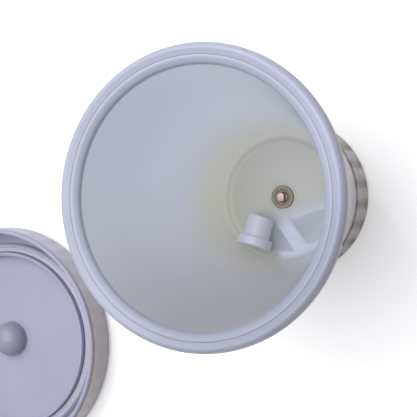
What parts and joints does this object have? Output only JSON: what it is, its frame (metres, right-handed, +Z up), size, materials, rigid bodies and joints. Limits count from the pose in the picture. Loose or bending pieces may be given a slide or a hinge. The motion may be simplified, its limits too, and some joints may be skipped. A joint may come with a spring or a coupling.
{
  "type": "paw washer cup",
  "caption": "Hand-twisted paw washer cup: flared double-walled cup, floor spindle turned by a ribbed base, loose drive hub inside, deep-skirted lid lying inside-up beside it.",
  "frame": {"origin": "centre of the base pad's flat underside, on the cup's axis, at the resting surface", "axes": "+Z up the cup's axis; the lid lies on the same surface towards -X and -Y"},
  "size_m": [0.2713, 0.1813, 0.1125],
  "materials": {
    "shell_plastic": "glossy lilac-white",
    "liner_plastic": "smooth milky translucent, faintly stained at the floor",
    "white_plastic": "plain moulded white",
    "lid_plastic": "soft-gloss lilac-white",
    "grip_plastic": "satin grey-white",
    "silicone": "white silicone",
    "seal_rubber": "aged olive-brown rubber",
    "pad_rubber": "dark grey foam rubber",
    "brass": "dull brass",
    "steel": "zinc-plated"
  },
  "bodies": {
    "cup": {"outer_body": "shell_plastic", "inner_liner": "liner_plastic", "rim_gasket": "silicone", "floor_support": "white_plastic", "support_screw_1": "steel", "support_screw_2": "steel", "support_screw_3": "steel", "support_screw_4": "steel", "support_screw_5": "steel", "shaft_bush": "white_plastic", "shaft_seal": "seal_rubber", "glide_ring": "white_plastic"},
    "base": {"twist_base": "grip_plastic", "drive_shaft": "brass", "thrust_washer": "steel", "retaining_clip": "steel", "base_cover": "grip_plastic", "cover_screw_1": "steel", "cover_screw_2": "steel", "cover_screw_3": "steel", "base_pad": "pad_rubber"},
    "hub": {"drive_hub": "white_plastic"},
    "lid": {"lid_shell": "lid_plastic", "lid_seal_ring": "silicone", "lid_centre_boss": "lid_plastic"}
  },
  "joints": [
    {"name": "base_turn", "type": "hinge", "parent": "cup", "child": "base", "pos_m": [0, 0, 0], "axis": [0, 0, 1], "continuous": true},
    {"name": "hub_lift", "type": "slide", "parent": "cup", "child": "hub", "axis": [0, 0, 1], "range_m": [0, 0.1]},
    {"name": "lid_lift", "type": "slide", "parent": "cup", "child": "lid", "axis": [0, 0, 1], "range_m": [0, 0.12]}
  ]
}
